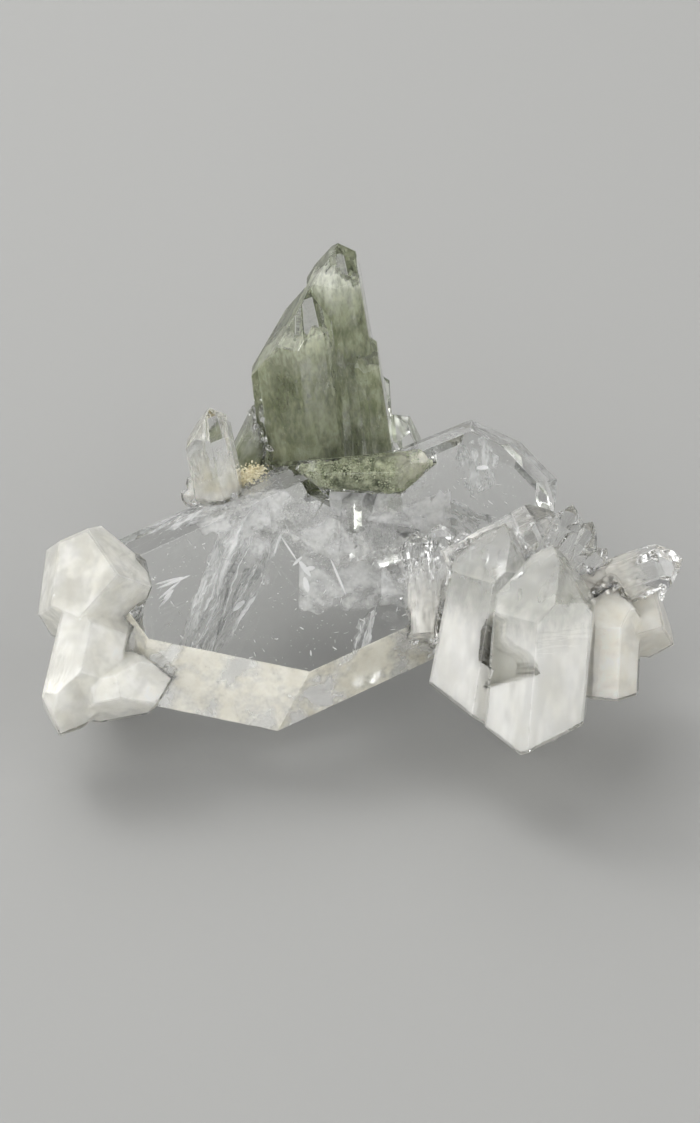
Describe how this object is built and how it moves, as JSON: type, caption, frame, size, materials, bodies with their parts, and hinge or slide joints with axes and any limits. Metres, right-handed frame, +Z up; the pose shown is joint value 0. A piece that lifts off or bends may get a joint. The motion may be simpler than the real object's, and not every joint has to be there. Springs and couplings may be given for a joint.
{
  "type": "faden quartz cluster with chlorite",
  "caption": "Thumbnail mineral specimen: a clear tabular faden quartz crystal with a green chlorite quartz tower, a mossy crystal and sprays of milky and clear points.",
  "frame": {"origin": "middle of the cluster's footprint, on the surface it rests on", "axes": "+Z up, -Y towards the front that the plate's broad face leans to, +X towards the end with the spray of small points"},
  "size_m": [0.043, 0.0314, 0.0293],
  "materials": {
    "clear_quartz": "clear natural crystal faces",
    "chlorite_quartz": "clear crystal clouded with green chlorite",
    "mossy_chlorite": "crystal coated and filled with mossy green chlorite",
    "milky_quartz": "milky translucent crystal, softly glossy"
  },
  "bodies": {
    "root": {"faden_plate": "clear_quartz", "chlorite_tower": "chlorite_quartz", "mossy_crystal": "mossy_chlorite", "back_left_point": "clear_quartz", "back_wedge": "chlorite_quartz", "thin_prisms": "clear_quartz", "slanted_prism": "clear_quartz", "clear_fan": "clear_quartz", "far_clear_point": "clear_quartz", "left_milky_crystals": "milky_quartz", "right_milky_block": "milky_quartz", "far_milky_blocks": "milky_quartz"}
  },
  "joints": []
}
